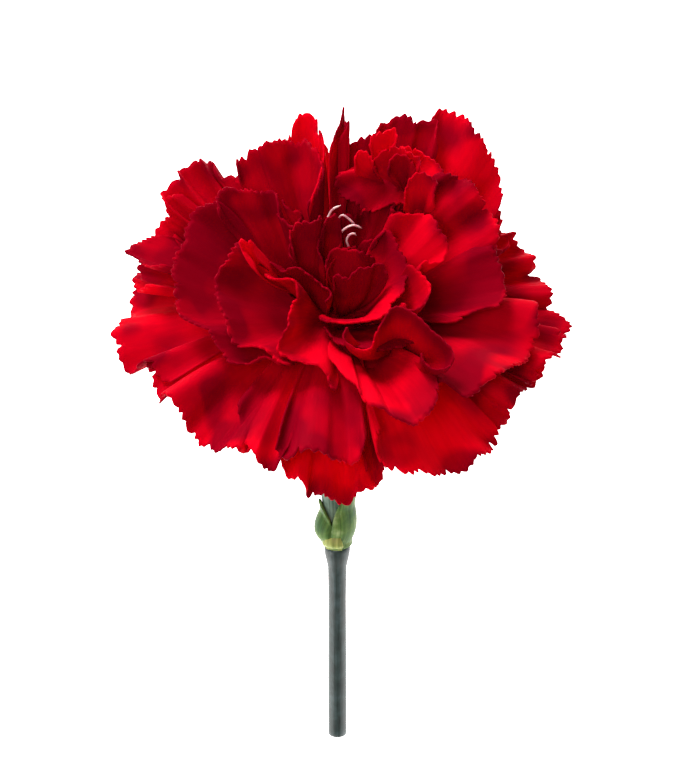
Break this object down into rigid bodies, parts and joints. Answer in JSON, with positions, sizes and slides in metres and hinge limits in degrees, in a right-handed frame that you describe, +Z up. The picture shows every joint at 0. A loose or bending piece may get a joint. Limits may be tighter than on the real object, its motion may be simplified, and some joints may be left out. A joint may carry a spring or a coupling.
{
  "type": "cut carnation",
  "caption": "Ruffled red double flower with toothed petals on a green tubular calyx and a short cut stem, lying on its back petals.",
  "frame": {"origin": "on the table under the middle of the flower's bounding box, as it lies", "axes": "+Z up from the table; +Y along the table from the cut end of the stem towards the bloom, which is the longest extent; +X to the right of the bloom when it is seen from above with the stem towards the viewer"},
  "size_m": [0.0796, 0.1146, 0.0698],
  "materials": {
    "stem_skin": "smooth green plant stem with a pale waxy bloom",
    "scale_leaf": "satin green leaf scale",
    "calyx_skin": "finely ribbed grey-green plant skin",
    "petal": "velvety matte red petal",
    "style": "matte pale pink thread"
  },
  "bodies": {
    "root": {"stem": "stem_skin", "scales": "scale_leaf", "calyx": "calyx_skin", "bloom": "petal", "styles": "style"}
  },
  "joints": []
}
